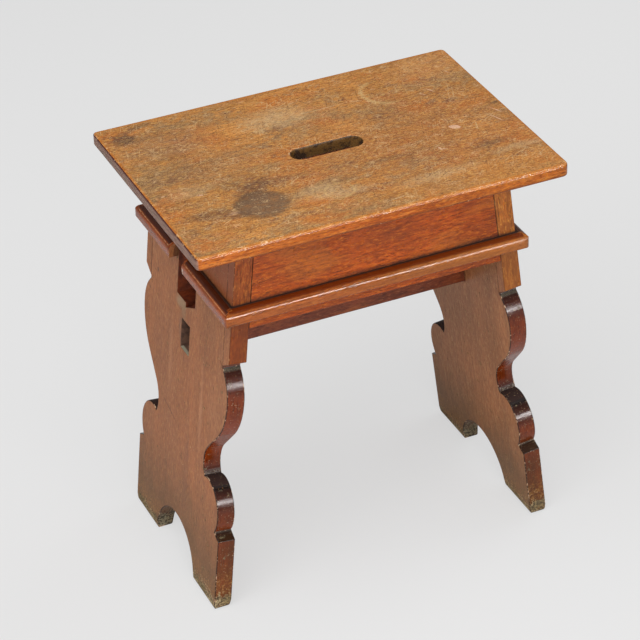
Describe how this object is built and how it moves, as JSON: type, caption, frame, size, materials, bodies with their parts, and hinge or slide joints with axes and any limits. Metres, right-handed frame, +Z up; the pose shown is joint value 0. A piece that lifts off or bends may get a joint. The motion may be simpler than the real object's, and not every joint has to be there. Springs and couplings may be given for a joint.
{
  "type": "shoe fitting stool",
  "caption": "Worn wooden shoe fitting stool: seat board with a hand hold on a shallow frieze with a bead moulding, carried by splayed scalloped end boards and a stretcher.",
  "frame": {"origin": "On the floor, under the middle of the seat", "axes": "X along the seat (the slotted end board is at -X), -Y the front, +Z up"},
  "size_m": [0.452, 0.32, 0.502],
  "materials": {
    "seat_wood": "worn matt varnish, golden brown, with a dark oval stain and pale scuffs",
    "leg_wood": "satin reddish brown stain, upright grain, dark glossy shaped edges, feet worn pale",
    "strip_wood": "satin red-brown varnish, upright grain",
    "rail_wood": "glossy orange-brown varnish, level grain",
    "moulding_wood": "glossy varnish worn along the nose, dark dirt at the back",
    "stretcher_wood": "satin red-brown varnish",
    "inner_wood": "bare softwood, darkened with age",
    "tongue_wood": "bare beech",
    "steel": "dull steel"
  },
  "bodies": {
    "root": {"seat_board": "seat_wood", "left_leg_board": "leg_wood", "right_leg_board": "leg_wood", "left_front_corner_strip": "strip_wood", "left_rear_corner_strip": "strip_wood", "right_front_corner_strip": "strip_wood", "right_rear_corner_strip": "strip_wood", "front_rail": "rail_wood", "rear_rail": "rail_wood", "stretcher": "stretcher_wood", "front_moulding": "moulding_wood", "rear_moulding": "moulding_wood", "right_moulding": "moulding_wood", "left_front_moulding": "moulding_wood", "left_rear_moulding": "moulding_wood", "front_seat_cleat": "inner_wood", "rear_seat_cleat": "inner_wood", "right_seat_cleat": "inner_wood", "left_front_seat_cleat": "inner_wood", "left_rear_seat_cleat": "inner_wood", "corner_glue_blocks": "inner_wood", "seat_screws": "steel", "leg_screws": "steel", "strip_tongues": "tongue_wood", "moulding_brads": "steel"}
  },
  "joints": []
}
